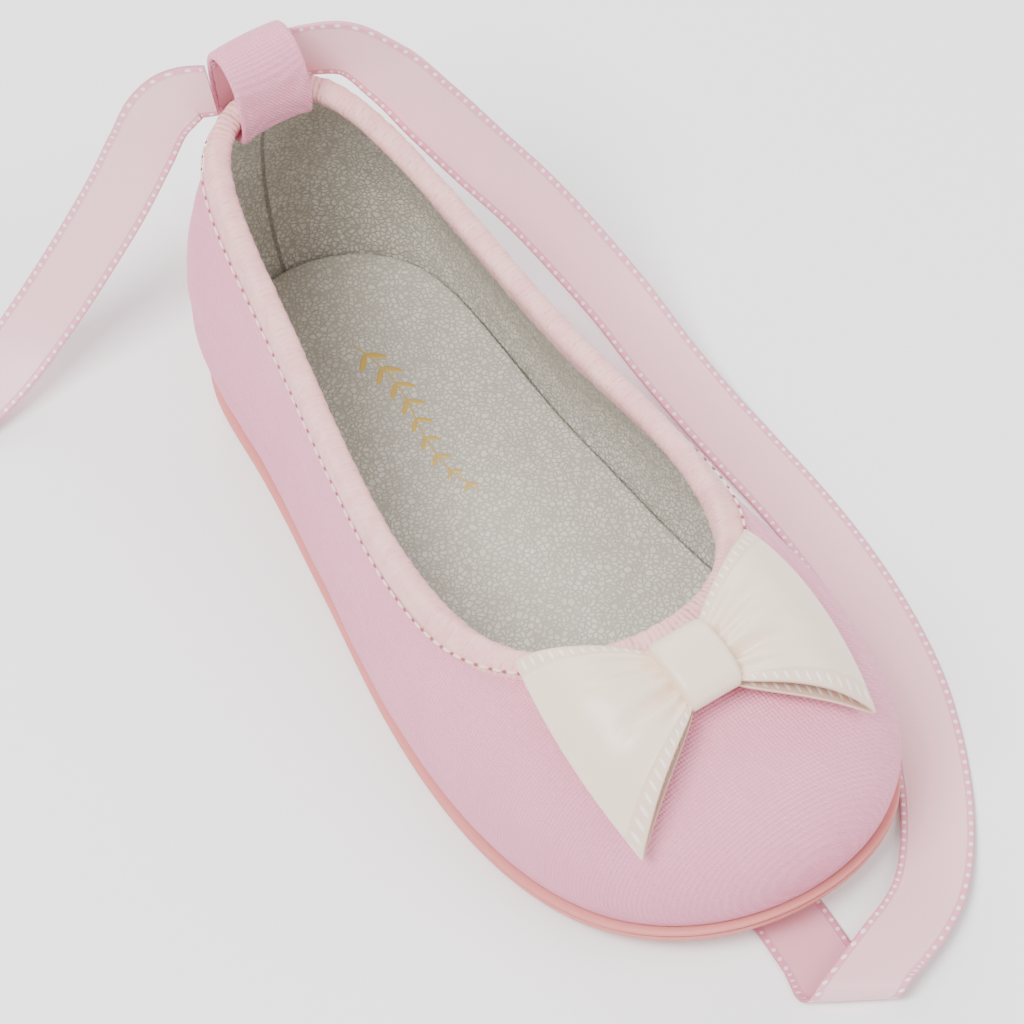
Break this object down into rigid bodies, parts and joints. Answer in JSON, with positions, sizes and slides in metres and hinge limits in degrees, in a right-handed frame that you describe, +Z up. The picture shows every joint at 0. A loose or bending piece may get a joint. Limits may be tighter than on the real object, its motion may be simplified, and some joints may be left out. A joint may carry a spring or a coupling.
{
  "type": "baby ballet slipper",
  "caption": "Soft round-toed baby ballet slipper with a low open collar, a flattened ribbon bow over the toes, a heel pull loop and a long satin ankle ribbon threaded through it.",
  "frame": {"origin": "middle of the shoe's floor plan, on the floor under the sole", "axes": "+Z up, toe towards -Y, heel towards +Y, the big toe's side at +X"},
  "size_m": [0.1343, 0.214, 0.0539],
  "materials": {
    "rubber": "matte",
    "sock": "matte",
    "leather": "satin",
    "binding": "matte",
    "bow_satin": "satin",
    "ribbon_satin": "satin"
  },
  "bodies": {
    "root": {"outsole": "rubber", "insole": "sock", "upper": "leather", "collar_binding": "binding", "heel_loop": "leather", "bow_left": "bow_satin", "bow_right": "bow_satin", "bow_knot": "bow_satin", "ribbon_stay": "ribbon_satin", "ribbon_left": "ribbon_satin", "ribbon_right": "ribbon_satin"}
  },
  "joints": []
}
